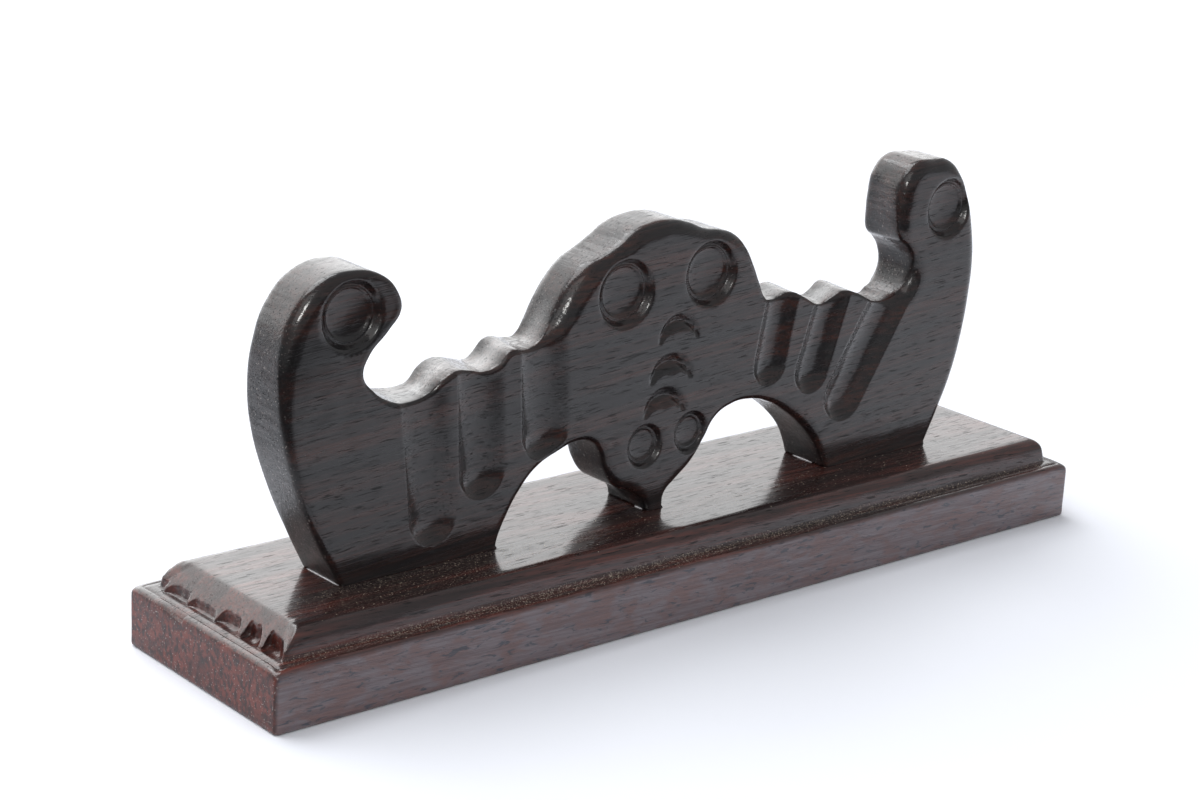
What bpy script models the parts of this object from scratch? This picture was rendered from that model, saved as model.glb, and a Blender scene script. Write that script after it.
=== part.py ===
"""A small carved hardwood rest: a fretted, carved board with curled wing tips, a lobed centre and
three feet, pegged and glued to a moulded rectangular plinth.

The origin is the middle of the plinth's underside. +X runs along the plinth and +Y to the back.
"""

import math

import bmesh
import bpy
from mathutils import Matrix, Vector

MM = 0.001

# Plinth
BASE_LENGTH = 200.0 * MM
BASE_DEPTH = 47.6 * MM
BASE_SIDE_HEIGHT = 11.8 * MM
BASE_PANEL_RISE = 4.8 * MM
BASE_LEDGE_WIDTH = 3.5 * MM
BASE_PANEL_ROUND = 2.4 * MM
BASE_CORNER_RADIUS = 2.0 * MM
BASE_EASED_EDGE = 0.5 * MM

# Carved board
UPRIGHT_SPAN = 171.6 * MM
UPRIGHT_HEIGHT = 60.9 * MM
UPRIGHT_THICKNESS = 12.4 * MM
UPRIGHT_FORWARD = 1.6 * MM
UPRIGHT_ARRIS = 1.3 * MM
FOOT_SPARE = 3.0 * MM

# Carving
EYE_RADIUS = 6.4 * MM
EYE_DEPTH = 1.2 * MM
NOSTRIL_RADIUS = 4.2 * MM
NOSTRIL_DEPTH = 0.8 * MM
CRESCENT_RADIUS = 5.4 * MM
CRESCENT_BAND = 1.6 * MM
CRESCENT_DEPTH = 0.9 * MM
FLUTE_DEPTH = 1.8 * MM
SCOOP_RADIUS = 4.6 * MM
SCOOP_DEPTH = 1.7 * MM
CARVING_PROUD = 1.0 * MM

# Pegs and fits
PEG_DIAMETER = 4.0 * MM
PEG_LENGTH = 16.0 * MM
PEG_SPACING = 18.0 * MM
CENTRE_PEG_DIAMETER = 2.4 * MM
CENTRE_PEG_LENGTH = 12.0 * MM
PEG_CHAMFER = 0.4 * MM
PEG_CLEARANCE = 0.2 * MM
SEAT_GAP = 0.3 * MM

# The outline is drawn in mm: across from the plinth's middle, and up from the plinth's top.
DRAWN_SPAN = 171.6
DRAWN_HEIGHT = 60.9
LEFT_FOOT = (-76.0, -41.3)
CENTRE_FOOT = (-4.8, -0.8)
RIGHT_FOOT = (42.8, 71.8)

LEFT_WING = (
    (-80.2, 8.0), (-84.6, 18.2), (-87.7, 28.2), (-88.7, 36.4), (-88.0, 44.6),
    (-85.2, 51.6), (-80.2, 55.9), (-73.8, 57.1), (-68.0, 55.5), (-64.7, 52.0),
    (-64.0, 48.9), (-66.6, 45.4), (-70.6, 41.4), (-71.7, 38.0), (-69.6, 35.0),
)
LEFT_ARM = (
    (-66.2, 32.6), (-61.5, 31.4), (-57.4, 32.2), (-54.6, 34.4), (-51.6, 35.6),
    (-48.0, 35.0), (-44.8, 34.3), (-42.2, 35.2), (-39.4, 37.5), (-35.4, 37.0),
    (-32.4, 37.6), (-29.6, 40.4),
)
BODY = (
    (-27.8, 43.2), (-25.0, 47.2), (-21.2, 50.4), (-17.4, 51.9), (-14.0, 53.5),
    (-10.4, 55.7), (-6.0, 56.9), (-1.2, 57.0), (3.4, 55.8), (7.0, 54.3),
    (11.2, 53.5), (14.8, 52.2), (17.8, 49.6), (20.0, 46.0), (21.8, 41.8),
    (23.5, 38.4),
)
RIGHT_ARM = (
    (26.6, 37.5), (30.6, 38.5), (33.6, 37.3), (36.8, 35.5), (40.0, 34.6),
    (42.8, 35.6), (45.4, 36.7), (48.6, 35.9), (52.0, 34.2), (55.6, 32.8),
    (59.2, 32.8),
)
RIGHT_WING = (
    (62.4, 34.2), (64.6, 37.2), (64.8, 40.6), (63.2, 43.2), (60.8, 45.3),
    (59.8, 49.0), (59.8, 53.4), (61.2, 58.0), (64.4, 60.7), (69.0, 60.9),
    (73.6, 60.2), (77.0, 57.2), (79.8, 52.0), (81.8, 45.6), (82.9, 38.6),
    (82.6, 30.4), (81.3, 22.2), (79.0, 14.0), (75.7, 6.8),
)
RIGHT_ARCH = (
    (41.5, 3.0), (39.4, 6.6), (36.2, 10.0), (32.2, 13.2), (27.0, 16.4),
    (21.2, 18.1), (15.8, 17.8), (12.0, 15.8), (9.6, 12.0), (6.6, 7.9),
    (2.8, 4.9), (-0.2, 2.6),
)
LEFT_ARCH = (
    (-5.4, 1.8), (-8.6, 4.5), (-12.6, 6.3), (-15.2, 9.8), (-16.8, 13.8),
    (-19.0, 16.4), (-22.6, 17.2), (-27.0, 16.0), (-32.2, 13.6), (-36.4, 9.2),
    (-39.4, 4.4), (-41.0, 1.4),
)

# Carved features: across and up in mm, as the outline.
EYES = ((-74.6, 49.3), (-12.8, 44.5), (8.3, 45.4), (73.3, 50.5))
NOSTRILS = ((-6.2, 13.5), (5.4, 14.2))
CRESCENTS = ((0.9, 33.7), (-0.5, 25.9), (-1.7, 19.4))
# Each flute: its top, its lower end's middle, and half its width there.
FLUTES = (
    ((-59.4, 36.0), (-56.3, 8.7), 4.9),
    ((-47.0, 39.0), (-45.6, 15.3), 4.7),
    ((-32.2, 42.0), (-31.0, 20.7), 4.9),
    ((28.2, 42.0), (25.2, 24.8), 3.9),
    ((42.0, 38.0), (36.9, 21.6), 4.2),
    ((58.0, 34.0), (46.4, 15.0), 5.0),
)
SCOOPS = ((-25.6, 36.4), (63.8, 34.6))

TURNED_STEPS = 16
GOUGE_STEPS = 28
FRONT, BACK = -1.0, 1.0

seat_height = BASE_SIDE_HEIGHT + BASE_PANEL_RISE
across_scale = UPRIGHT_SPAN / (DRAWN_SPAN * MM)
up_scale = UPRIGHT_HEIGHT / (DRAWN_HEIGHT * MM)


def clear_scene():
    for obj in list(bpy.data.objects):
        bpy.data.objects.remove(obj)


def new_collection(name, hidden=False):
    collection = bpy.data.collections.new(name)
    collection.hide_render = hidden
    bpy.context.scene.collection.children.link(collection)
    return collection


def wood(name, colour, roughness):
    material = bpy.data.materials.new(name)
    material.use_nodes = True
    shader = material.node_tree.nodes["Principled BSDF"]
    shader.inputs["Base Color"].default_value = (*colour, 1.0)
    shader.inputs["Roughness"].default_value = roughness
    shader.inputs["Metallic"].default_value = 0.0
    return material


def add_part(name, mesh, material):
    obj = bpy.data.objects.new(name, mesh)
    obj.data.materials.append(material)
    parts.objects.link(obj)
    return obj


def add_cutter(name, mesh, group):
    obj = bpy.data.objects.new(name, mesh)
    obj.hide_render = True
    obj.display_type = "WIRE"
    group.objects.link(obj)
    return obj


def cut_with(obj, group):
    cut = obj.modifiers.new("cut", "BOOLEAN")
    cut.operation = "DIFFERENCE"
    cut.solver = "EXACT"
    cut.operand_type = "COLLECTION"
    cut.collection = group


def board_x(across):
    """World X of a drawn distance across the board."""
    return across * MM * across_scale


def board_z(up):
    """World Z of a drawn height above the plinth's top."""
    return seat_height + up * MM * up_scale


def face_y(side):
    """World Y of the board's front or back face."""
    return side * UPRIGHT_THICKNESS / 2 - UPRIGHT_FORWARD


def mesh_from_curve(curve):
    """The evaluated curve as a mesh with its caps welded on."""
    guide = bpy.data.objects.new("guide", curve)
    bpy.context.scene.collection.objects.link(guide)
    graph = bpy.context.evaluated_depsgraph_get()
    mesh = bpy.data.meshes.new_from_object(guide.evaluated_get(graph))
    bpy.data.objects.remove(guide)
    welded = bmesh.new()
    welded.from_mesh(mesh)
    bmesh.ops.remove_doubles(welded, verts=welded.verts, dist=0.00001)
    bmesh.ops.recalc_face_normals(welded, faces=welded.faces)
    welded.to_mesh(mesh)
    welded.free()
    return mesh


def turn_profile(obj, profile, steps, stand):
    """Turns a profile about the object's own Z. It runs from the top of the axis, down the outer
    side, to the bottom of the axis, and stand places the turned solid in the world."""
    corners = [(radius, 0.0, height) for radius, height in profile]
    edges = [(here, here + 1) for here in range(len(profile) - 1)]
    obj.data.from_pydata(corners, edges, [])
    turned = obj.modifiers.new("turned", "SCREW")
    turned.axis = "Z"
    turned.steps = steps
    turned.render_steps = steps
    turned.use_merge_vertices = True
    turned.merge_threshold = 0.00001
    obj.matrix_world = stand


def facing_out(side, across, up):
    """Stands a turned tool's axis on a point of the board's face, pointing out of the face."""
    place = Vector((board_x(across), face_y(side), board_z(up)))
    return Matrix.Translation(place) @ Matrix.Rotation(-side * math.pi / 2, 4, "X")


# Plinth


def rounded_loop(shape, inset, height):
    """One horizontal loop of the plinth, drawn in from its sides by inset."""
    radius = BASE_CORNER_RADIUS
    middle_x = BASE_LENGTH / 2 - inset - radius
    middle_y = BASE_DEPTH / 2 - inset - radius
    corner_steps = 4
    loop = []
    for corner, (sign_x, sign_y) in enumerate(((1, 1), (-1, 1), (-1, -1), (1, -1))):
        for step in range(corner_steps + 1):
            angle = math.pi / 2 * (corner + step / corner_steps)
            x = sign_x * middle_x + radius * math.cos(angle)
            y = sign_y * middle_y + radius * math.sin(angle)
            loop.append(shape.verts.new((x, y, height)))
    return loop


def plinth_profile():
    """(inset, height) up the plinth's side, over the ledge and round the raised panel's edge."""
    eased = BASE_EASED_EDGE
    profile = [(eased, 0.0), (0.0, eased), (0.0, BASE_SIDE_HEIGHT - eased), (eased, BASE_SIDE_HEIGHT)]
    round_steps = 5
    for step in range(round_steps + 1):
        turn = math.pi / 2 * step / round_steps
        inset = BASE_LEDGE_WIDTH + BASE_PANEL_ROUND * (1 - math.cos(turn))
        profile.append((inset, BASE_SIDE_HEIGHT + BASE_PANEL_RISE * math.sin(turn)))
    return profile


def build_plinth():
    shape = bmesh.new()
    loops = [rounded_loop(shape, inset, height) for inset, height in plinth_profile()]
    for lower, upper in zip(loops, loops[1:]):
        for here in range(len(lower)):
            after = (here + 1) % len(lower)
            shape.faces.new((lower[here], lower[after], upper[after], upper[here]))
    shape.faces.new(reversed(loops[0]))
    shape.faces.new(loops[-1])
    bmesh.ops.recalc_face_normals(shape, faces=shape.faces)
    mesh = bpy.data.meshes.new("base_plinth")
    shape.to_mesh(mesh)
    shape.free()
    plinth = add_part("base_plinth", mesh, wood("plinth_wood", (0.045, 0.017, 0.011), 0.3))
    cut_with(plinth, plinth_cutters)


# Carved board


def outline_points():
    """(across, up, corner) round the board, clockwise from the left foot's outer corner."""
    spare = -FOOT_SPARE / MM

    def smooth(points):
        return [(across, up, False) for across, up in points]

    def side_of_foot(across, downwards):
        ends = [(across, 0.0, True), (across, spare, True)]
        return ends if downwards else ends[::-1]

    points = side_of_foot(LEFT_FOOT[0], False)
    for run in (LEFT_WING, LEFT_ARM, BODY, RIGHT_ARM, RIGHT_WING):
        points += smooth(run)
    points += side_of_foot(RIGHT_FOOT[1], True) + side_of_foot(RIGHT_FOOT[0], False)
    points += smooth(RIGHT_ARCH)
    points += side_of_foot(CENTRE_FOOT[1], True) + side_of_foot(CENTRE_FOOT[0], False)
    points += smooth(LEFT_ARCH)
    points += side_of_foot(LEFT_FOOT[1], True)
    return points


def build_board():
    curve = bpy.data.curves.new("board_outline", "CURVE")
    curve.dimensions = "2D"
    curve.fill_mode = "BOTH"
    curve.resolution_u = 2
    curve.extrude = UPRIGHT_THICKNESS / 2 - UPRIGHT_ARRIS
    curve.bevel_depth = UPRIGHT_ARRIS
    curve.bevel_resolution = 1
    curve.offset = -UPRIGHT_ARRIS
    points = outline_points()
    spline = curve.splines.new("BEZIER")
    spline.bezier_points.add(len(points) - 1)
    spline.use_cyclic_u = True
    for knot, (across, up, corner) in zip(spline.bezier_points, points):
        knot.co = (board_x(across), up * MM * up_scale, 0.0)
        knot.handle_left_type = "VECTOR" if corner else "AUTO"
        knot.handle_right_type = "VECTOR" if corner else "AUTO"
    mesh = mesh_from_curve(curve)
    upright = Matrix.Translation((0.0, -UPRIGHT_FORWARD, seat_height))
    mesh.transform(upright @ Matrix.Rotation(math.pi / 2, 4, "X"))
    board = add_part("carved_upright", mesh, wood("upright_wood", (0.03, 0.022, 0.02), 0.3))
    cut_with(board, board_cutters)


def build_seat_cutter():
    """Trims the feet level, just clear of the plinth."""
    shape = bmesh.new()
    bmesh.ops.create_cube(shape, size=1.0)
    shape.transform(Matrix.Diagonal((2 * UPRIGHT_SPAN, 3 * UPRIGHT_THICKNESS, 4 * FOOT_SPARE, 1.0)))
    top = seat_height + SEAT_GAP
    shape.transform(Matrix.Translation((0.0, -UPRIGHT_FORWARD, top - 2 * FOOT_SPARE)))
    mesh = bpy.data.meshes.new("seat_cutter")
    shape.to_mesh(mesh)
    shape.free()
    add_cutter("seat_cutter", mesh, board_cutters)


def eye_profile(radius, depth):
    """A sloping wall down to a ring, and a shallow dish inside the ring."""
    wall_foot = 0.83 * radius
    ring = 0.76 * radius
    dish_rim = 0.7 * radius
    proud_radius = radius + (radius - wall_foot) * CARVING_PROUD / depth
    return (
        (0.0, CARVING_PROUD), (proud_radius, CARVING_PROUD), (wall_foot, -depth), (ring, -depth),
        (dish_rim, -0.8 * depth), (0.4 * radius, -1.4 * depth), (0.0, -1.65 * depth),
    )


def build_eye_cutters(side, label):
    tools = [(EYES, EYE_RADIUS, EYE_DEPTH, "eye"), (NOSTRILS, NOSTRIL_RADIUS, NOSTRIL_DEPTH, "nostril")]
    for places, radius, depth, kind in tools:
        for number, (across, up) in enumerate(places, 1):
            mesh = bpy.data.meshes.new(kind)
            tool = add_cutter(f"{kind}_cutter_{label}_{number}", mesh, board_cutters)
            stand = facing_out(side, across, up)
            turn_profile(tool, eye_profile(radius, depth), TURNED_STEPS, stand)


def build_crescent_cutters(side, label):
    """Each is an arch as wide as the band at its crown, which thins to nothing at its two ends."""
    arc_steps = 10
    inner_height = CRESCENT_RADIUS - CRESCENT_BAND
    for number, (across, up) in enumerate(CRESCENTS, 1):
        curve = bpy.data.curves.new("crescent", "CURVE")
        curve.dimensions = "2D"
        curve.fill_mode = "BOTH"
        curve.extrude = (CRESCENT_DEPTH + CARVING_PROUD) / 2
        outer, inner = [], []
        for step in range(arc_steps + 1):
            turn = math.pi * step / arc_steps
            outer.append((CRESCENT_RADIUS * math.cos(turn), CRESCENT_RADIUS * math.sin(turn)))
            inner.append((CRESCENT_RADIUS * math.cos(turn), inner_height * math.sin(turn)))
        outline = outer + inner[-2:0:-1]
        spline = curve.splines.new("POLY")
        spline.points.add(len(outline) - 1)
        spline.use_cyclic_u = True
        for knot, (x, y) in zip(spline.points, outline):
            knot.co = (x, y, 0.0, 1.0)
        mesh = mesh_from_curve(curve)
        middle = face_y(side) + side * (CARVING_PROUD - CRESCENT_DEPTH) / 2
        place = Matrix.Translation((board_x(across), middle, board_z(up)))
        mesh.transform(place @ Matrix.Rotation(math.pi / 2, 4, "X"))
        add_cutter(f"crescent_cutter_{label}_{number}", mesh, board_cutters)


def gouge_radius(half_width, depth):
    return (half_width**2 + depth**2) / (2 * depth)


def build_flute_cutters(side, label):
    """A round-ended bar that lies along the flute, sunk by the flute's depth."""
    round_steps = 4
    for number, (top, low_end, half_width) in enumerate(FLUTES, 1):
        radius = gouge_radius(half_width * MM, FLUTE_DEPTH)
        middle_y = face_y(side) + side * (radius - FLUTE_DEPTH)
        start = Vector((board_x(low_end[0]), middle_y, board_z(low_end[1])))
        end = Vector((board_x(top[0]), middle_y, board_z(top[1])))
        length = (end - start).length + 2 * half_width * MM
        profile = [(0.0, length), (radius, length)]
        for step in range(round_steps):
            turn = math.pi / 2 * step / round_steps
            profile.append((radius * math.cos(turn), -radius * math.sin(turn)))
        profile.append((0.0, -radius))
        along = (end - start).to_track_quat("Z", "Y").to_matrix().to_4x4()
        mesh = bpy.data.meshes.new("flute")
        tool = add_cutter(f"flute_cutter_{label}_{number}", mesh, board_cutters)
        turn_profile(tool, profile, GOUGE_STEPS, Matrix.Translation(start) @ along)


def build_scoop_cutters(side, label):
    """A ball sunk by the scoop's depth."""
    radius = gouge_radius(SCOOP_RADIUS, SCOOP_DEPTH)
    for number, (across, up) in enumerate(SCOOPS, 1):
        shape = bmesh.new()
        bmesh.ops.create_uvsphere(shape, u_segments=20, v_segments=12, radius=radius)
        middle_y = face_y(side) + side * (radius - SCOOP_DEPTH)
        shape.transform(Matrix.Translation((board_x(across), middle_y, board_z(up))))
        mesh = bpy.data.meshes.new("scoop")
        shape.to_mesh(mesh)
        shape.free()
        add_cutter(f"scoop_cutter_{label}_{number}", mesh, board_cutters)


# Pegs


def peg_profile(diameter, length, chamfer):
    radius = diameter / 2
    half = length / 2
    return (
        (0.0, half), (radius - chamfer, half), (radius, half - chamfer),
        (radius, chamfer - half), (radius - chamfer, -half), (0.0, -half),
    )


def hole_profile(diameter, length):
    """The hole for a peg of this size, with the peg's clearance all round."""
    radius = diameter / 2 + PEG_CLEARANCE
    half = length / 2 + PEG_CLEARANCE
    return ((0.0, half), (radius, half), (radius, -half), (0.0, -half))


def build_pegs():
    """Each peg lies half in the plinth and half in a foot, in a blind hole with room all round."""
    left_middle = sum(LEFT_FOOT) / 2
    right_middle = sum(RIGHT_FOOT) / 2
    half_spacing = PEG_SPACING / 2
    centre_x = board_x(sum(CENTRE_FOOT) / 2)
    pegs = (
        ("left_foot_peg_outer", board_x(left_middle) - half_spacing, PEG_DIAMETER, PEG_LENGTH),
        ("left_foot_peg_inner", board_x(left_middle) + half_spacing, PEG_DIAMETER, PEG_LENGTH),
        ("centre_foot_peg", centre_x, CENTRE_PEG_DIAMETER, CENTRE_PEG_LENGTH),
        ("right_foot_peg_inner", board_x(right_middle) - half_spacing, PEG_DIAMETER, PEG_LENGTH),
        ("right_foot_peg_outer", board_x(right_middle) + half_spacing, PEG_DIAMETER, PEG_LENGTH),
    )
    peg_wood = wood("peg_wood", (0.42, 0.27, 0.15), 0.6)
    for name, x, diameter, length in pegs:
        stand = Matrix.Translation((x, -UPRIGHT_FORWARD, seat_height + SEAT_GAP / 2))
        peg = add_part(name, bpy.data.meshes.new(name), peg_wood)
        turn_profile(peg, peg_profile(diameter, length, PEG_CHAMFER), TURNED_STEPS, stand)
        for group, place in ((plinth_cutters, "plinth"), (board_cutters, "board")):
            mesh = bpy.data.meshes.new("peg_hole")
            tool = add_cutter(f"{name}_hole_in_{place}", mesh, group)
            turn_profile(tool, hole_profile(diameter, length), TURNED_STEPS, stand)


clear_scene()
parts = new_collection("carved_rest")
cutters = new_collection("cutters", hidden=True)
board_cutters = bpy.data.collections.new("board_cutters")
plinth_cutters = bpy.data.collections.new("plinth_cutters")
cutters.children.link(board_cutters)
cutters.children.link(plinth_cutters)

build_pegs()
build_seat_cutter()
for side, label in ((FRONT, "front"), (BACK, "back")):
    build_eye_cutters(side, label)
    build_crescent_cutters(side, label)
    build_flute_cutters(side, label)
    build_scoop_cutters(side, label)
build_plinth()
build_board()
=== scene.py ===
"""The looks of a small carved hardwood rest: a lacquered, carved board on a moulded plinth."""

import math

import bpy
import numpy as np
from mathutils import Matrix, Vector, kdtree, noise
from mathutils.geometry import delaunay_2d_cdt, interpolate_bezier


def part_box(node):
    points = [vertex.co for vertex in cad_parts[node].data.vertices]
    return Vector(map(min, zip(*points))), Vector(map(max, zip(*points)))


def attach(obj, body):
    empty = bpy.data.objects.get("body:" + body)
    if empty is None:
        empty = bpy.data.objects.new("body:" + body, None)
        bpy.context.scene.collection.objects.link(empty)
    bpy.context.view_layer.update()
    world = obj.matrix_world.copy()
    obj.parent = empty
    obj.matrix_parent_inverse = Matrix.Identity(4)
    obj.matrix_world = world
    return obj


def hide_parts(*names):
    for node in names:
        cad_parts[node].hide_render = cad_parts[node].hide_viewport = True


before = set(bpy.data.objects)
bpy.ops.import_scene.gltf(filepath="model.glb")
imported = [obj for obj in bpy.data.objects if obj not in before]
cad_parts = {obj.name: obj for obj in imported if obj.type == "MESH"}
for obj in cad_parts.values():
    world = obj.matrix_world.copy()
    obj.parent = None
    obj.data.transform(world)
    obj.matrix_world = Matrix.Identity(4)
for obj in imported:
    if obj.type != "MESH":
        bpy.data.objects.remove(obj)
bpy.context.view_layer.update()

# ---------------------------------------------------------------- Studio
# The rest stands on pale paper. A long, soft window behind it is mirrored in every lacquered top, and one
# small lamp beside the camera puts glints on the carving. The camera sees a white room and paper to the
# horizon. To mirrored and thrown light the room is dim, and the paper ends a little in front of the rest.

MM = 0.001
plinth_low, plinth_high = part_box("base_plinth")
length = plinth_high.x - plinth_low.x

CAMERA_PLACE = Vector((-1.6587, -1.8628, 0.9786)) * length
CAMERA_AZIMUTH = math.radians(-40.681)
CAMERA_ELEVATION = math.radians(17.79)
CAMERA_ROLL = math.radians(2.89)
CAMERA_LENS = 81.41

backwards = Vector((
    math.sin(CAMERA_AZIMUTH) * math.cos(CAMERA_ELEVATION),
    -math.cos(CAMERA_AZIMUTH) * math.cos(CAMERA_ELEVATION),
    math.sin(CAMERA_ELEVATION),
))
level = Vector((math.cos(CAMERA_AZIMUTH), math.sin(CAMERA_AZIMUTH), 0.0))
upright = backwards.cross(level)
rightwards = math.cos(CAMERA_ROLL) * level + math.sin(CAMERA_ROLL) * upright
upwards = math.cos(CAMERA_ROLL) * upright - math.sin(CAMERA_ROLL) * level
camera = bpy.data.objects.new("camera", bpy.data.cameras.new("camera"))
camera.data.lens = CAMERA_LENS
camera.data.sensor_width = 36.0
camera.data.clip_start = 0.01
turned = Matrix((rightwards, upwards, backwards)).transposed().to_4x4()
camera.matrix_world = Matrix.Translation(CAMERA_PLACE) @ turned
bpy.context.scene.collection.objects.link(camera)
bpy.context.scene.camera = camera
bpy.context.scene.view_settings.view_transform = "Standard"


def node(tree, kind, settings=None, **inputs):
    """Adds a node. An input given as a socket is linked, and any other value is set on it."""
    made = tree.nodes.new(kind)
    for name, value in (settings or {}).items():
        setattr(made, name, value)
    for name, value in inputs.items():
        key = int(name[1:]) if name[0] == "i" and name[1:].isdigit() else name.replace("_", " ")
        if isinstance(value, bpy.types.NodeSocket):
            tree.links.new(value, made.inputs[key])
        else:
            made.inputs[key].default_value = value
    return made


def maths(tree, operation, *values):
    """What a Math node makes of its inputs, which are sockets or numbers."""
    inputs = {f"i{place}": value for place, value in enumerate(values)}
    return node(tree, "ShaderNodeMath", {"operation": operation}, **inputs).outputs[0]


def new_finish(name):
    """A material, its tree and its main shader."""
    material = bpy.data.materials.new(name)
    material.use_nodes = True
    tree = material.node_tree
    return material, tree, tree.nodes["Principled BSDF"]


def add_mesh(name, points, faces):
    """A smooth-shaded mesh object at the origin, from points in millimetres."""
    mesh = bpy.data.meshes.new(name)
    mesh.from_pydata((np.asarray(points) * MM).tolist(), [], [list(face) for face in faces])
    mesh.update()
    mesh.polygons.foreach_set("use_smooth", [True] * len(mesh.polygons))
    made = bpy.data.objects.new(name, mesh)
    bpy.context.scene.collection.objects.link(made)
    return made


# How far the paper goes, how far from the rest's middle towards the camera its mirrored part ends, and
# half the width of that end's fading, in mm. The end stays put when other views move the camera.
FLOOR_REACH = 4000.0
MIRRORED_FRONT = 112.0
MIRRORED_FADE = 26.0
floor_corners = [
    (x * FLOOR_REACH, y * FLOOR_REACH, 0.0) for x, y in ((-1, -1), (1, -1), (1, 1), (-1, 1))
]
floor = add_mesh("paper_floor", floor_corners, [(0, 1, 2, 3)])
paper, paper_tree, paper_shader = new_finish("matt_paper")
paper_shader.inputs["Base Color"].default_value = (0.855, 0.87, 0.925, 1.0)
paper_shader.inputs["Roughness"].default_value = 0.9
paper_shader.inputs["Specular IOR Level"].default_value = 0.1
on_paper = node(paper_tree, "ShaderNodeTexCoord").outputs["Object"]
to_camera = Vector((backwards.x, backwards.y, 0.0)).normalized()
ahead = node(paper_tree, "ShaderNodeVectorMath", {"operation": "DOT_PRODUCT"}, i0=on_paper, i1=to_camera)
beyond = node(
    paper_tree, "ShaderNodeMapRange", {"interpolation_type": "SMOOTHSTEP"}, Value=ahead.outputs["Value"],
    From_Min=(MIRRORED_FRONT - MIRRORED_FADE) * MM, From_Max=(MIRRORED_FRONT + MIRRORED_FADE) * MM,
)
looked_at = node(paper_tree, "ShaderNodeLightPath").outputs["Is Camera Ray"]
hidden = maths(paper_tree, "MULTIPLY", beyond.outputs[0], maths(paper_tree, "SUBTRACT", 1.0, looked_at))
clear = node(paper_tree, "ShaderNodeBsdfTransparent").outputs[0]
shown = node(paper_tree, "ShaderNodeMixShader", Fac=hidden, i1=paper_shader.outputs[0], i2=clear)
paper_tree.links.new(shown.outputs[0], paper_tree.nodes["Material Output"].inputs["Surface"])
floor.data.materials.append(paper)

world = bpy.data.worlds.new("studio")
world.use_nodes = True
bpy.context.scene.world = world
# How bright the room is above and below, and the slopes of sight between which the one becomes the other.
ROOM_GLOW = 0.46
ROOM_BELOW = 0.10
HORIZON_FROM = -0.08
HORIZON_TO = 0.02
direction = node(world.node_tree, "ShaderNodeTexCoord").outputs["Generated"]
rising = node(world.node_tree, "ShaderNodeSeparateXYZ", Vector=direction).outputs["Z"]
glow = node(
    world.node_tree, "ShaderNodeMapRange", {"interpolation_type": "SMOOTHSTEP"}, Value=rising,
    From_Min=HORIZON_FROM, From_Max=HORIZON_TO, To_Min=ROOM_BELOW, To_Max=ROOM_GLOW,
)
path = node(world.node_tree, "ShaderNodeLightPath")
seen_or_felt = node(
    world.node_tree, "ShaderNodeMix", {"data_type": "FLOAT"},
    Factor=path.outputs["Is Camera Ray"], A=glow.outputs[0], B=1.0,
)
backdrop = world.node_tree.nodes["Background"]
backdrop.inputs["Color"].default_value = (0.96, 0.98, 1.0, 1.0)
world.node_tree.links.new(seen_or_felt.outputs[0], backdrop.inputs["Strength"])


# The shares of a lamp's width, from its right end, between which it comes up to full brightness.
LAMP_FADE_FROM = 0.17
LAMP_FADE_TO = 0.45


def soft_box(name, place, aim, width, height, brightness, tint, right_share=1.0):
    """A rectangular lamp in metres, whose right end may be dimmer than its left."""
    lamp = bpy.data.lights.new(name, "AREA")
    lamp.shape = "RECTANGLE"
    lamp.size = width
    lamp.size_y = height
    lamp.energy = brightness * math.pi * width * height
    lamp.color = tint
    lamp.use_nodes = True
    tree = lamp.node_tree
    on_lamp = node(tree, "ShaderNodeNewGeometry").outputs["Parametric"]
    across = node(tree, "ShaderNodeSeparateXYZ", Vector=on_lamp).outputs["X"]
    fade = node(
        tree, "ShaderNodeMapRange", {"interpolation_type": "SMOOTHSTEP"}, Value=across,
        From_Min=LAMP_FADE_FROM, From_Max=LAMP_FADE_TO, To_Min=right_share, To_Max=1.0,
    )
    tree.links.new(fade.outputs[0], tree.nodes["Emission"].inputs["Strength"])
    holder = bpy.data.objects.new(name, lamp)
    facing = (Vector(place) - Vector(aim)).to_track_quat("Z", "Y")
    holder.matrix_world = Matrix.Translation(place) @ facing.to_matrix().to_4x4()
    holder.visible_camera = False
    bpy.context.scene.collection.objects.link(holder)


soft_box("window", (0.1, 1.15, 0.62), (0.0, 0.0, 0.1), 2.9, 1.15, 2.3, (1.0, 1.0, 1.0), 0.55)
soft_box("skylight", (-0.25, 0.55, 1.25), (0.0, 0.0, 0.0), 1.2, 0.7, 4.5, (0.97, 0.985, 1.0))
soft_box("front_fill", (-0.95, -0.75, 1.0), (0.0, 0.0, 0.0), 1.0, 0.9, 1.1, (1.0, 0.99, 0.98))
soft_box("camera_lamp", (-0.40, -0.50, 0.36), (0.0, 0.0, 0.04), 0.13, 0.10, 20.0, (1.0, 0.99, 0.97))

# ---------------------------------------------------------------- Plinth
# One block of red-brown, dark-streaked hardwood. A ledge and a rounded panel were run round its top,
# the panel's end was pared across with a gouge, and the whole was filled and lacquered.

PLINTH_CORNER = 0.9
PANEL_TOP = 16.6
plinth_half_length = plinth_high.x / MM
plinth_half_depth = plinth_high.y / MM


def between(here, table):
    """Reads a table of (place, value), with straight runs between its rows."""
    places, values = zip(*table)
    return np.interp(here, places, values)


def swell(x, y, z, size, seed=0.0):
    """Slow waves from -1 to 1 that are about this many millimetres long."""
    return noise.noise(Vector((x / size + seed, y / size, z / size)))


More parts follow.
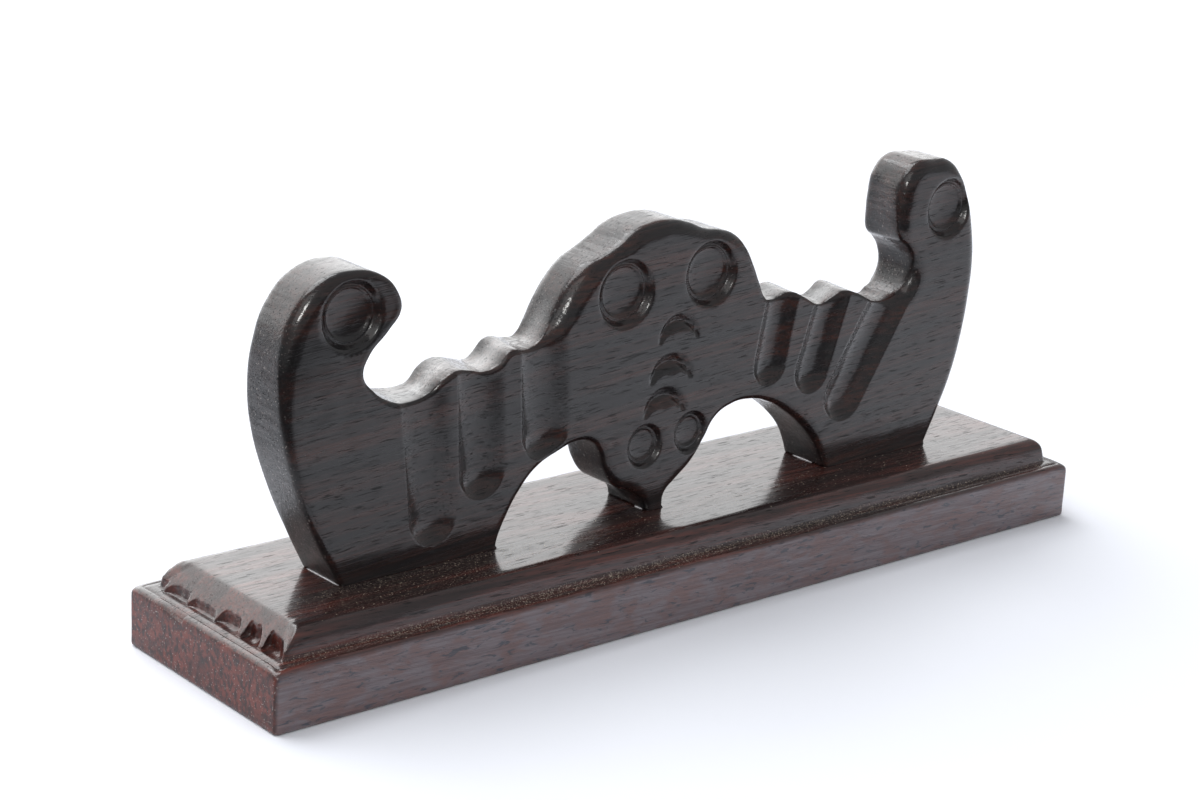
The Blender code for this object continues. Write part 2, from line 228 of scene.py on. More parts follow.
# The plinth's profile from its underside up: inset from the side, and height.
plinth_edge = (
    (0.9, 0.0), (0.55, 0.03), (0.25, 0.16), (0.06, 0.42), (0.0, 0.9), (0.0, 2.2), (0.0, 3.8),
    (0.0, 5.4), (0.0, 7.0), (0.0, 8.6), (0.0, 9.8), (0.02, 10.5), (0.1, 10.95), (0.26, 11.28),
    (0.5, 11.5), (0.8, 11.6), (1.2, 11.66), (1.45, 11.67), (1.6, 11.58), (1.75, 11.56), (1.9, 11.66),
    (2.3, 11.73), (2.8, 11.76), (3.15, 11.74), (3.38, 11.68), (3.5, 11.76), (3.55, 12.1), (3.6, 12.6),
    (3.66, 13.1), (3.74, 13.6), (3.83, 14.1), (3.93, 14.6), (4.0, 14.85), (4.05, 15.0), (4.14, 15.16),
    (4.3, 15.42), (4.52, 15.7), (4.8, 15.96), (5.15, 16.2), (5.55, 16.38), (6.0, 16.5), (6.5, 16.57),
    (7.1, 16.6),
)
END_STEPS = 210
LONG_STEPS = 230
CORNER_STEPS = 7


def plinth_stations():
    """(blend along x, blend along y, outward x, outward y) round the plinth from its right end."""
    stations = []
    corners = ((1, -1), (1, 1), (-1, 1), (-1, -1))
    for number, corner in enumerate(corners):
        after = corners[(number + 1) % 4]
        steps = END_STEPS if number % 2 == 0 else LONG_STEPS
        out = (math.cos(math.pi / 2 * number), math.sin(math.pi / 2 * number))
        for step in range(steps + 1):
            share = step / steps
            blend = [a + (b - a) * share for a, b in zip(corner, after)]
            stations.append((*blend, *out))
        for step in range(1, CORNER_STEPS):
            turn = math.pi / 2 * (number + step / CORNER_STEPS)
            stations.append((*after, math.cos(turn), math.sin(turn)))
    return stations


# The panel's left end rolls down to the ledge, and six upright gouge cuts were pared into the foot of
# the roll, with ribs between them: each cut's back end, its front end, and how high its wall stands.
PARED_CUTS = (
    (21.4, 17.5, 13.3), (16.9, 9.9, 13.5), (9.3, 1.0, 13.3), (0.5, -6.3, 14.2), (-7.5, -12.8, 14.5),
    (-13.9, -20.0, 14.6),
)
# The ledge's height, the panel's inset, the roll's foot, how far in the roll reaches, how full its curve
# is, what share of the way up belongs to the cuts' walls, and how uneven and how far leaning those are.
LEDGE = 11.75
PANEL_FOOT = 3.5
ROLL_FOOT = 12.3
ROLL_REACH = 8.4
ROLL_BEND = 1.35
WALL_SHARE = 0.4
CUT_UNEVEN = 0.3
CUT_LEAN = 0.15


def rolled_height(from_end):
    """How high the roll stands at this distance from the plinth's left end."""
    left_over = 1.0 - (from_end - PANEL_FOOT) / (ROLL_REACH - PANEL_FOOT)
    return ROLL_FOOT + (PANEL_TOP - ROLL_FOOT) * (1.0 - min(1.0, max(0.0, left_over)) ** ROLL_BEND)


def pared_end(y, share):
    """Inset and height of the panel's left end, a share of the way from the ledge to the flat top."""
    wall_top = ROLL_FOOT
    for back, front, top in PARED_CUTS:
        across = abs(2.0 * y - back - front) / (back - front)
        if across < 1.0:
            wall_top += (top + CUT_UNEVEN * swell(0.0, y, top, 1.9, 4.0) - wall_top) * (1.0 - across**6)
    left_over = (1.0 - (wall_top - ROLL_FOOT) / (PANEL_TOP - ROLL_FOOT)) ** (1.0 / ROLL_BEND)
    wall_inset = PANEL_FOOT + (ROLL_REACH - PANEL_FOOT) * (1.0 - left_over)
    if share < WALL_SHARE:
        up = share / WALL_SHARE
        return wall_inset - CUT_LEAN * (1.0 - up), LEDGE + (wall_top - LEDGE) * up
    rolled = (share - WALL_SHARE) / (1.0 - WALL_SHARE)
    inset = wall_inset + (ROLL_REACH - wall_inset) * rolled
    return inset, rolled_height(inset)


# A chip in the ledge's left end: where it starts and ends, how far it is sunk, and how far it bites in.
CHIP_FROM = 13.4
CHIP_TO = 5.9
CHIP_SUNK = 0.5
CHIP_BITE = 0.35
# How far the tools left each surface from true, how far the arrises are worn, and how far the corners of
# the ledge are rounded off. The corner at the front left is more worn than the others.
PANEL_WAVE = 0.09
PANEL_RIPPLE = 0.05
SIDE_WAVE = 0.05
LEDGE_WAVE = 0.07
ARRIS_WEAR = 0.10
CORNER_WEAR = 0.5
WORN_CORNER = 0.8
TOP_WAVE = 0.025


def plinth_point(station, inset, height, share):
    """A point of the plinth's edge, with what the hand tools and wear left on it. Its share is how far
    it is from the panel's foot to the flat top, and is below 0 on the ledge and the side."""
    blend_x, blend_y, out_x, out_y = station
    at_left_end = max(0.0, -out_x) ** 2
    if share >= 0.0 and at_left_end > 0.0:
        y = (plinth_half_depth - inset - PLINTH_CORNER) * blend_y + PLINTH_CORNER * out_y
        end_inset, end_height = pared_end(y, share)
        inset += (end_inset - inset) * at_left_end
        height += (end_height - height) * at_left_end
    x = (plinth_half_length - inset - PLINTH_CORNER) * blend_x + PLINTH_CORNER * out_x
    y = (plinth_half_depth - inset - PLINTH_CORNER) * blend_y + PLINTH_CORNER * out_y
    if share >= 0.0:
        height = min(height, rolled_height(plinth_half_length + x) + 0.02)
    on_panel = between(height, ((11.7, 0.0), (12.6, 1.0), (15.6, 1.0), (16.5, 0.0)))
    on_ledge = between(inset, ((0.1, 0.0), (0.4, 1.0), (2.9, 1.0), (3.4, 0.0)))
    on_ledge *= 11.0 < height < 11.9
    inwards = PANEL_WAVE * on_panel * (1.0 + swell(x, y, 0.0, 14.0, 3.0))
    rippled = 1.0 + swell(x, y, 4.0 * height, 2.6, 8.0)
    inwards += PANEL_RIPPLE * on_panel * rippled * (0.35 + at_left_end)
    on_side = between(height, ((0.0, 0.0), (2.0, 1.0)))
    inwards += SIDE_WAVE * on_side * (1.0 + swell(x, y, 2.0 * height, 9.0, 5.0))
    sunk = LEDGE_WAVE * on_ledge * (1.0 + swell(x, y, 0.0, 7.0, 11.0))
    near_arris = between(abs(height - 11.3), ((0.0, 1.0), (0.6, 0.0)))
    worn = ARRIS_WEAR * near_arris * max(0.0, swell(x, y, 0.0, 5.0, 17.0))
    from_corner = plinth_half_length - abs(x) + plinth_half_depth - abs(y) - inset
    if inset < 1.7 and height > 9.0:
        rounded_off = WORN_CORNER if x < 0.0 and y < 0.0 else CORNER_WEAR
        high_up = between(height, ((9.0, 0.0), (11.3, 1.0)))
        sunk += rounded_off * math.exp(-max(0.0, from_corner) / 1.5) * high_up
    if at_left_end > 0.5 and CHIP_TO < y < CHIP_FROM and height > 10.8:
        chip = between(y, ((CHIP_TO, 1.0), (CHIP_TO + 2.0, 0.75), (CHIP_FROM, 0.0)))
        sunk += CHIP_SUNK * chip * between(inset, ((0.0, 1.0), (0.95, 0.8), (1.2, 0.0)))
        inwards += CHIP_BITE * chip * between(inset, ((0.0, 1.0), (0.9, 0.0)))
    x -= (inwards + worn) * out_x
    y -= (inwards + worn) * out_y
    return x, y, height - sunk - 0.6 * worn


def grid_inside(loop, spacing, margin):
    """Points on a triangular grid, all inside a flat loop and at least a margin from it."""
    loop = np.asarray(loop)
    low, high = loop.min(0), loop.max(0)
    rows = np.arange(low[1], high[1], spacing * math.sqrt(3.0) / 2.0)
    points = []
    for number, y in enumerate(rows):
        xs = np.arange(low[0] + spacing * 0.5 * (number % 2), high[0], spacing)
        points.append(np.column_stack((xs, np.full(len(xs), y))))
    points = np.concatenate(points)
    return points[inside(points, loop) & (distance_to(points, loop)[0] > margin)]


def inside(points, loop):
    """Which points lie inside a closed loop."""
    odd = np.zeros(len(points), bool)
    for (ax, ay), (bx, by) in zip(loop, np.roll(loop, -1, 0)):
        if ay == by:
            continue
        crosses = (points[:, 1] < ay) != (points[:, 1] < by)
        odd ^= crosses & (points[:, 0] < ax + (points[:, 1] - ay) * (bx - ax) / (by - ay))
    return odd


def distance_to(points, loop):
    """Each point's distance to a closed loop, and where on the loop that is, in loop steps."""
    tree = kdtree.KDTree(len(loop))
    for number, (x, y) in enumerate(loop):
        tree.insert((x, y, 0.0), number)
    tree.balance()
    nearest = np.array([tree.find((x, y, 0.0))[1] for x, y in points], int)
    best = np.full(len(points), np.inf)
    place = np.zeros(len(points))
    for shift in (-1, 0):
        first = (nearest + shift) % len(loop)
        start, end = loop[first], loop[(first + 1) % len(loop)]
        along = end - start
        share = ((points - start) * along).sum(1) / np.maximum((along**2).sum(1), 1e-12)
        share = np.clip(share, 0.0, 1.0)
        gap = np.linalg.norm(start + along * share[:, None] - points, axis=1)
        closer = gap < best
        best[closer] = gap[closer]
        place[closer] = (first + share)[closer]
    return best, place


def triangles_over(loop, inner):
    """Triangles over a flat loop and the points in it. The loop's points come first."""
    count = len(loop)
    flat = np.concatenate((loop, inner))
    ahead = np.roll(loop, -1, 0)
    clockwise = (loop[:, 0] * ahead[:, 1] - ahead[:, 0] * loop[:, 1]).sum() < 0.0
    rim = list(range(count))[::-1] if clockwise else list(range(count))
    found = delaunay_2d_cdt([Vector(point) for point in flat.tolist()], [], [rim], 0, 1e-7, True)
    came_from = [origin[0] for origin in found[3]]
    return [[came_from[corner] for corner in face] for face, within in zip(found[2], found[5]) if within]


def panel_height(x, y):
    """The flat top's height, which the plane has left a hair uneven."""
    return PANEL_TOP - TOP_WAVE * (1.0 + swell(x, y, 0.0, 17.0, 2.0))


PANEL_STEP = 1.5


def build_plinth_mesh():
    """Rows of points round the plinth from its underside up, closed below and over the flat top."""
    stations = plinth_stations()
    around = len(stations)
    foot = next(number for number, row in enumerate(plinth_edge) if row[0] >= PANEL_FOOT)
    points = []
    for number, (inset, height) in enumerate(plinth_edge):
        share = (number - foot) / (len(plinth_edge) - 1 - foot)
        points += [plinth_point(station, inset, height, share) for station in stations]
    faces = []
    for row in range(len(plinth_edge) - 1):
        for here in range(around):
            after = (here + 1) % around
            low, high = row * around, (row + 1) * around
            faces.append((low + here, low + after, high + after, high + here))
    faces.append(list(range(around))[::-1])
    top = len(points) - around
    rim = np.array(points[top:])[:, :2]
    inner = grid_inside(rim, PANEL_STEP, 0.6 * PANEL_STEP)
    points[top:] = [(x, y, panel_height(x, y)) for x, y, _ in points[top:]]
    points += [(x, y, panel_height(x, y)) for x, y in inner]
    faces += [[top + corner for corner in face] for face in triangles_over(rim, inner)]
    return points, faces


def paint(piece, name, values):
    """Stores one number for each point of a piece, for its finish to read."""
    layer = piece.data.attributes.new(name, "FLOAT", "POINT")
    layer.data.foreach_set("value", np.asarray(values, float))


def places_and_facing(piece):
    """A piece's points in millimetres, and which way each one faces."""
    count = len(piece.data.vertices)
    places, facing = np.empty(count * 3), np.empty(count * 3)
    piece.data.vertices.foreach_get("co", places)
    piece.data.vertex_normals.foreach_get("vector", facing)
    return places.reshape(-1, 3) / MM, facing.reshape(-1, 3)


RELIEF_DEPTH = 0.06


def streaked_hardwood(name, black, red, pale_film_and_front_light, ends, figure, grain_rise, gloss):
    """Dense tropical hardwood under clear lacquer. The grain runs along X: long streaks of black and
    red-brown, fine growth lines, and open pores that are dashes along the grain and dots across it. A
    pale film that is partly painted front light, end grain with painted glints, dust and the rasp's
    scratches lie where a piece's pale_film_and_front_light, end_grain, dust and rasped values are above
    0. Grains and streaks are sized in mm."""
    material, tree, shader = new_finish(name)
    where = node(tree, "ShaderNodeTexCoord")
    grain = node(
        tree, "ShaderNodeMapping", Vector=where.outputs["Object"],
        Rotation=(0.0, math.radians(grain_rise), 0.0), Scale=(1000.0, 1000.0, 1000.0),
    ).outputs[0]

    def stretched(along, deep, up, detail=2.0, distortion=0.0):
        """Noise whose grains are about this many millimetres long, deep and high."""
        finer = (1 / along, 1 / deep, 1 / up)
        place = node(tree, "ShaderNodeVectorMath", {"operation": "MULTIPLY"}, i0=grain, i1=finer)
        spots = node(
            tree, "ShaderNodeTexNoise", Vector=place.outputs[0], Scale=1.0, Detail=detail,
            Roughness=0.55, Distortion=distortion,
        )
        return spots.outputs["Fac"]

    def ramp(value, low, high):
        """Turns a value into a mask that goes from 0 at low to 1 at high."""
        made = node(
            tree, "ShaderNodeMapRange", {"interpolation_type": "SMOOTHSTEP"}, Value=value,
            From_Min=low, From_Max=high,
        )
        return made.outputs[0]

    def mixed(factor, first, second):
        made = node(tree, "ShaderNodeMix", {"data_type": "RGBA"}, i0=factor, i6=first, i7=second)
        return made.outputs[2]

    def tinted(tint, red_share, green_share, blue_share):
        return tint[0] * red_share, tint[1] * green_share, tint[2] * blue_share, 1.0

    def heaped(total, layers):
        """A total with a share of each mask added to it."""
        for mask, share in layers:
            total = maths(tree, "ADD", total, maths(tree, "MULTIPLY", mask, share))
        return total

    def painted(name):
        return node(tree, "ShaderNodeAttribute", {"attribute_name": name}).outputs["Fac"]

    bands = ramp(stretched(*figure, detail=3.0, distortion=0.35), 0.36, 0.66)
    lines = ramp(stretched(30.0, 0.9, 0.55, detail=3.0), 0.38, 0.62)
    threads = stretched(9.0, 0.34, 0.26)
    flecks = ramp(stretched(3.4, 1.5, 0.8, detail=1.0), 0.52, 0.70)
    pores = ramp(stretched(3.6, 0.26, 0.2, detail=0.0), 0.68, 0.75)
    colour = mixed(bands, (*black, 1.0), (*red, 1.0))
    colour = mixed(maths(tree, "MULTIPLY", lines, 0.75), colour, tinted(black, 0.45, 0.45, 0.45))
    colour = mixed(maths(tree, "MULTIPLY", flecks, 0.5), colour, (*black, 1.0))
    colour = mixed(maths(tree, "MULTIPLY", pores, 0.85), colour, (0.004, 0.003, 0.003, 1.0))

    # The pale film below is partly real and partly painted light, lightening sides that face the front lamps.
    cloud = ramp(stretched(6.0, 5.0, 2.2, detail=4.0, distortion=0.6), 0.40, 0.62)
    film_and_front_light_colour = mixed(cloud, (*pale_film_and_front_light, 1.0), tinted(pale_film_and_front_light, 0.95, 0.68, 0.60))
    streaks = ramp(stretched(26.0, 3.0, 0.55, detail=3.0), 0.36, 0.66)
    film_and_front_light_colour = mixed(maths(tree, "MULTIPLY", streaks, 0.7), film_and_front_light_colour, tinted(pale_film_and_front_light, 0.6, 0.5, 0.5))
    specks = ramp(stretched(3.2, 2.6, 0.8, detail=3.0, distortion=0.7), 0.57, 0.66)
    film_and_front_light_colour = mixed(maths(tree, "MULTIPLY", specks, 0.85), film_and_front_light_colour, tinted(pale_film_and_front_light, 0.25, 0.34, 0.42))
    colour = mixed(painted("pale_film_and_front_light"), colour, film_and_front_light_colour)

    mottle = ramp(stretched(1.2, 1.0, 1.3, detail=5.0, distortion=0.15), 0.36, 0.64)
    across_grain = mixed(mottle, (*ends, 1.0), tinted(ends, 0.16, 0.30, 0.42))
    rings = ramp(stretched(40.0, 9.0, 2.0, detail=2.0), 0.40, 0.70)
    across_grain = mixed(maths(tree, "MULTIPLY", rings, 0.6), across_grain, tinted(ends, 0.3, 0.4, 0.5))
    # Painted glints: pale specks on the end grain stand for light sparkling off its cut fibres.
    painted_glints = ramp(stretched(0.36, 0.36, 0.36, detail=0.0), 0.73, 0.78)
    across_grain = mixed(maths(tree, "MULTIPLY", painted_glints, 0.7), across_grain, (0.34, 0.30, 0.28, 1.0))
    on_ends = painted("end_grain")
    colour = mixed(on_ends, colour, across_grain)
    fluff = ramp(stretched(0.34, 0.34, 0.34, detail=3.0), 0.52, 0.66)
    dusty = maths(tree, "MULTIPLY", fluff, painted("dust"))
    colour = mixed(dusty, colour, (0.36, 0.30, 0.25, 1.0))
    tree.links.new(colour, shader.inputs["Base Color"])

    rough = maths(tree, "MULTIPLY_ADD", lines, 0.07, gloss)
    rough = heaped(rough, ((pores, 0.3), (dusty, 0.5), (on_ends, 0.12)))
    tree.links.new(rough, shader.inputs["Roughness"])

    relief = maths(tree, "MULTIPLY_ADD", lines, -0.35, maths(tree, "MULTIPLY", threads, 0.6))
    relief = maths(tree, "SUBTRACT", relief, maths(tree, "MULTIPLY", pores, 1.5))
    bump = node(tree, "ShaderNodeBump", Height=relief, Strength=0.45, Distance=RELIEF_DEPTH * MM)
    tree.links.new(bump.outputs[0], shader.inputs["Normal"])
    scratches = stretched(0.9, 10.0, 0.8, detail=2.0)
    open_ends = maths(tree, "MULTIPLY", stretched(0.45, 0.45, 0.45), on_ends)
    rasp = maths(tree, "MULTIPLY", scratches, painted("rasped"))
    rough_spots = maths(tree, "MULTIPLY_ADD", rasp, 14.0, maths(tree, "MULTIPLY", open_ends, 12.0))
    coat_relief = maths(tree, "ADD", relief, rough_spots)

    # Open and torn grain has drunk a share of the lacquer, so that much less of a film stands on it.
    torn = maths(tree, "MULTIPLY", ramp(scratches, 0.42, 0.6), painted("rasped"))
    bare = maths(tree, "MULTIPLY", on_ends, 0.57)
    bare = heaped(bare, ((torn, 0.35), (pores, 0.5), (ramp(threads, 0.5, 0.68), 0.14)))
    tree.links.new(maths(tree, "SUBTRACT", 1.0, bare), shader.inputs["Coat Weight"])
    film = node(tree, "ShaderNodeBump", Height=coat_relief, Strength=0.2, Distance=RELIEF_DEPTH * MM)
    tree.links.new(film.outputs[0], shader.inputs["Coat Normal"])
    shader.inputs["Specular IOR Level"].default_value = 0.15
    shader.inputs["Coat Roughness"].default_value = 0.11
    shader.inputs["Coat IOR"].default_value = 1.48
    return material


plinth_wood = streaked_hardwood(
    "plinth_hardwood", black=(0.024, 0.013, 0.013), red=(0.105, 0.031, 0.024), pale_film_and_front_light=(0.150, 0.125, 0.138),
    ends=(0.148, 0.033, 0.023), figure=(60.0, 6.0, 3.2), grain_rise=-1.5, gloss=0.24,
)
plinth = add_mesh("plinth", *build_plinth_mesh())
places, facing = places_and_facing(plinth)
# The plinth's front side gets the pale film, most below the ledge: partly real, partly painted front light.
faded = between(places[:, 2], ((10.8, 1.0), (11.3, 0.2), (13.0, 0.12), (16.0, 0.0)))
paint(plinth, "pale_film_and_front_light", np.clip(-facing[:, 1], 0.0, 1.0) ** 2 * faded)
cut_across = between(places[:, 2], ((11.2, 1.0), (12.0, 0.5), (16.4, 0.3)))
paint(plinth, "end_grain", facing[:, 0] ** 2 * cut_across)
front_inset = places[:, 1] + plinth_half_depth
in_groove = between(front_inset, ((0.5, 0.0), (1.4, 0.35), (2.6, 0.8), (3.5, 1.0), (3.8, 0.0)))
in_groove = in_groove * (np.abs(places[:, 2] - 11.7) < 0.6)
in_groove *= np.abs(places[:, 0]) < plinth_half_length - PANEL_FOOT
in_groove *= between(places[:, 0], ((-97.0, 0.4), (-70.0, 0.8), (-30.0, 1.0), (60.0, 0.6), (97.0, 0.3)))
before_feet = between(places[:, 1], ((-19.0, 0.0), (-17.0, 0.35), (-9.0, 0.55), (-6.0, 0.0)))
before_feet = before_feet * (places[:, 2] > PANEL_TOP - 0.3)
dusty_along = ((-90.0, 0.0), (-76.0, 0.6), (-45.0, 0.8), (-25.0, 0.25), (75.0, 0.2), (90.0, 0.0))
before_feet *= between(places[:, 0], dusty_along)
paint(plinth, "dust", np.clip(in_groove + before_feet, 0.0, 1.0))
plinth.data.materials.append(plinth_wood)
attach(plinth, "root")
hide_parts("base_plinth")

# ---------------------------------------------------------------- Carved board
# One board of nearly black hardwood, sawn to a symmetrical outline, with rounded arrises. Eyes, arched
# nicks and flutes were carved into both faces with gouges, and its feet stand glued on the plinth.

board_low, board_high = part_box("carved_upright")
seat = plinth_high.z / MM
FACE_FRONT = board_low.y / MM
FACE_BACK = board_high.y / MM

# The outline in mm: across from the plinth's middle, up from its top, and the width of the arris.
FEET = {"left": (-76.0, -41.3), "centre": (-4.8, -0.8), "right": (42.8, 71.8)}
LEFT_WING = (
    (-80.2, 8.0, 1.8), (-84.6, 18.2, 1.6), (-87.7, 28.2, 1.7), (-88.7, 36.4, 2.0), (-88.0, 44.6, 2.8),
    (-85.2, 51.6, 3.2), (-80.2, 55.9, 2.6), (-73.8, 57.1, 1.8), (-68.0, 55.5, 1.2), (-64.7, 52.0, 1.0),
    (-64.0, 48.9, 1.0), (-66.6, 45.4, 1.0), (-70.6, 41.4, 1.0), (-71.7, 38.0, 1.0), (-69.6, 35.0, 1.1),
)
LEFT_ARM = (
    (-66.2, 32.6, 1.2), (-61.5, 31.4, 1.0), (-57.4, 32.2, 0.8), (-54.6, 34.4, 0.8), (-51.6, 35.6, 1.0),
    (-48.0, 35.0, 0.8), (-44.8, 34.3, 0.8), (-42.2, 35.2, 0.8), (-39.4, 37.5, 1.0), (-35.4, 37.0, 0.9),
    (-32.4, 37.6, 1.6), (-29.6, 40.4, 3.4),
)
BODY = (
    (-27.8, 43.2, 4.4), (-25.0, 47.2, 4.4), (-21.2, 50.4, 3.8), (-17.4, 51.9, 3.0), (-14.0, 53.5, 2.6),
    (-10.4, 55.7, 2.8), (-6.0, 56.9, 3.0), (-1.2, 57.0, 3.0), (3.4, 55.8, 2.8), (7.0, 54.3, 2.4),
    (11.2, 53.5, 2.4), (14.8, 52.2, 2.6), (17.8, 49.6, 2.6), (20.0, 46.0, 2.4), (21.8, 41.8, 1.8),
    (23.5, 38.4, 1.2),
)
RIGHT_ARM = (
    (26.6, 37.5, 1.0), (30.6, 38.5, 1.0), (33.6, 37.3, 0.8), (36.8, 35.5, 0.8), (40.0, 34.6, 0.8),
    (42.8, 35.6, 0.8), (45.4, 36.7, 1.0), (48.6, 35.9, 0.8), (52.0, 34.2, 0.8), (55.6, 32.8, 0.8),
    (59.2, 32.8, 1.8),
)
RIGHT_WING = (
    (62.4, 34.2, 3.4), (64.6, 37.2, 3.0), (64.8, 40.6, 1.8), (63.2, 43.2, 1.6), (60.8, 45.3, 2.0),
    (59.8, 49.0, 2.8), (59.8, 53.4, 3.2), (61.2, 58.0, 3.0), (64.4, 60.7, 2.8), (69.0, 60.9, 2.8),
    (73.6, 60.2, 2.8), (77.0, 57.2, 2.6), (79.8, 52.0, 2.4), (81.8, 45.6, 2.4), (82.9, 38.6, 2.4),
    (82.6, 30.4, 2.4), (81.3, 22.2, 2.2), (79.0, 14.0, 2.0), (75.7, 6.8, 1.8),
)
RIGHT_ARCH = (
    (41.5, 3.0, 1.4), (39.4, 6.6, 1.8), (36.2, 10.0, 2.0), (32.2, 13.2, 2.0), (27.0, 16.4, 1.8),
    (21.2, 18.1, 1.6), (15.8, 17.8, 1.6), (12.0, 15.8, 1.8), (9.6, 12.0, 2.0), (6.6, 7.9, 2.2),
    (2.8, 4.9, 2.2), (-0.2, 2.6, 1.6),
)
LEFT_ARCH = (
    (-5.4, 1.8, 1.4), (-8.6, 4.5, 2.0), (-12.6, 6.3, 2.2), (-15.2, 9.8, 2.0), (-16.8, 13.8, 1.8),
    (-19.0, 16.4, 1.6), (-22.6, 17.2, 1.6), (-27.0, 16.0, 1.8), (-32.2, 13.6, 2.0), (-36.4, 9.2, 2.0),
    (-39.4, 4.4, 1.8), (-41.0, 1.4, 1.2),
)
OUTLINE_STEP = 0.45


def board_knots():
    """(across, up, arris, corner) round the board, clockwise from the left foot's outer corner."""
    def foot(*places):
        return [(across, 0.0, 1.0, True) for across in places]

    knots = foot(FEET["left"][0])
    for run in (LEFT_WING, LEFT_ARM, BODY, RIGHT_ARM, RIGHT_WING):
        knots += [(*knot, False) for knot in run]
    knots += foot(FEET["right"][1], FEET["right"][0])
    knots += [(*knot, False) for knot in RIGHT_ARCH]
    knots += foot(FEET["centre"][1], FEET["centre"][0])
    knots += [(*knot, False) for knot in LEFT_ARCH]
    return knots + foot(FEET["left"][1])


def board_outline():
    """The outline as (across, up), each point's arris, and whether the edge after it is a seat."""
    knots = board_knots()
    curve = bpy.data.curves.new("board_outline", "CURVE")
    spline = curve.splines.new("BEZIER")
    spline.bezier_points.add(len(knots) - 1)
    spline.use_cyclic_u = True
    for bend, (across, up, _, _) in zip(spline.bezier_points, knots):
        bend.co = (across, up, 0.0)
    for bend, (_, _, _, corner) in zip(spline.bezier_points, knots):
        bend.handle_left_type = bend.handle_right_type = "VECTOR" if corner else "AUTO"
    points, arrises, seats = [], [], []
    for number, knot in enumerate(knots):
        after = (number + 1) % len(knots)
        here, there = spline.bezier_points[number], spline.bezier_points[after]
        steps = max(1, round((there.co - here.co).length / OUTLINE_STEP))
        run = interpolate_bezier(here.co, here.handle_right, there.handle_left, there.co, steps + 1)
        points += [(point.x, point.y) for point in run[:-1]]
        arrises += list(np.linspace(knot[2], knots[after][2], steps + 1)[:-1])
        seats += [knot[3] and knots[after][3]] * steps
    bpy.data.curves.remove(curve)
    return np.array(points), np.array(arrises), np.array(seats)


# Carved features in mm: across and up.
EYES = (
    (-74.6, 49.3, 6.3, 4.95), (-12.8, 44.5, 6.6, 5.15), (8.3, 45.5, 6.4, 5.1), (73.3, 50.5, 6.2, 4.85),
)
NOSTRILS = ((-6.2, 13.5, 4.3, 3.3), (5.4, 14.2, 4.2, 3.1))
CRESCENTS = ((0.9, 33.7, 5.4, 1.15), (-0.5, 25.9, 5.7, 1.4), (-1.7, 19.4, 5.6, 1.4))
# Each flute: its top, its lower end's middle, half its width, its depth at the lower end, what share of
# that is left at the top, and how soft its right edge is.
FLUTES = (
    ((-58.9, 36.0), (-55.9, 9.2), 5.6, 1.6, 0.5, 0.8),
    ((-46.6, 39.0), (-45.2, 15.8), 5.4, 1.9, 0.5, 0.7),
    ((-32.0, 42.0), (-30.8, 20.9), 5.7, 1.8, 0.5, 0.7),
    ((28.4, 42.0), (25.3, 24.8), 4.4, 1.6, 0.9, 0.25),
    ((42.2, 38.0), (37.0, 21.6), 4.7, 1.7, 0.9, 0.2),
    ((58.3, 34.0), (46.6, 15.0), 5.6, 1.8, 0.9, 0.2),
)
# How much of a flute's left side drops at its very edge.
LEFT_BRINK = 0.12

# Across an eye: (how far out from the ring, depth), and inside the ring: (share of its radius, depth).
EYE_WALL = (
    (-0.12, 1.16), (0.0, 1.12), (0.1, 1.18), (0.2, 1.32), (0.32, 1.36), (0.46, 1.27), (0.7, 0.97),
    (0.95, 0.62), (1.2, 0.3), (1.4, 0.11), (1.55, 0.04), (1.8, 0.0),
)
EYE_DISH = ((0.0, 1.86), (0.4, 1.8), (0.7, 1.7), (0.86, 1.6), (0.92, 1.5), (0.97, 1.17), (1.0, 1.12))
# How far out from the ring the opening's edge is on EYE_WALL, and how deeply each sort of eye is cut.
WALL_REACH = 1.35
EYE_CUT = 1.1
NOSTRIL_CUT = 0.9
# Across a crescent: (how far inside its arc, depth), for a boldness of 1.
CRESCENT_CUT = (
    (0.0, 0.0), (0.25, 0.05), (1.2, 0.62), (1.36, 0.66), (1.5, 0.98), (1.75, 1.02), (2.3, 0.62),
    (2.9, 0.2), (3.5, 0.0),
)


def eye_depth(across, up, eye, scale):
    """A round groove and, inside it, a dish, with a narrow ring left standing between them."""
    x, z, opening, ring = eye
    far = np.hypot(across - x, up - z)
    outside = between((far - ring) * WALL_REACH / (opening - ring), EYE_WALL)
    dished = between(far / ring, EYE_DISH)
    return scale * np.where(far > ring, outside, dished)


def crescent_depth(across, up, crescent):
    """An arched nick, which is deepest a little inside its arc and runs out towards its ends."""
    x, z, radius, boldness = crescent
    far = np.hypot(across - x, up - z)
    turn = np.arctan2(up - z, across - x)
    crown = between(np.sin(turn), ((-0.12, 0.0), (0.0, 0.25), (0.5, 0.72), (1.0, 1.0)))
    spread = np.maximum(between(np.sin(turn), ((-0.12, 0.3), (1.0, 1.0))), 0.3)
    return boldness * crown * between((radius - far) / (spread * boldness), CRESCENT_CUT)


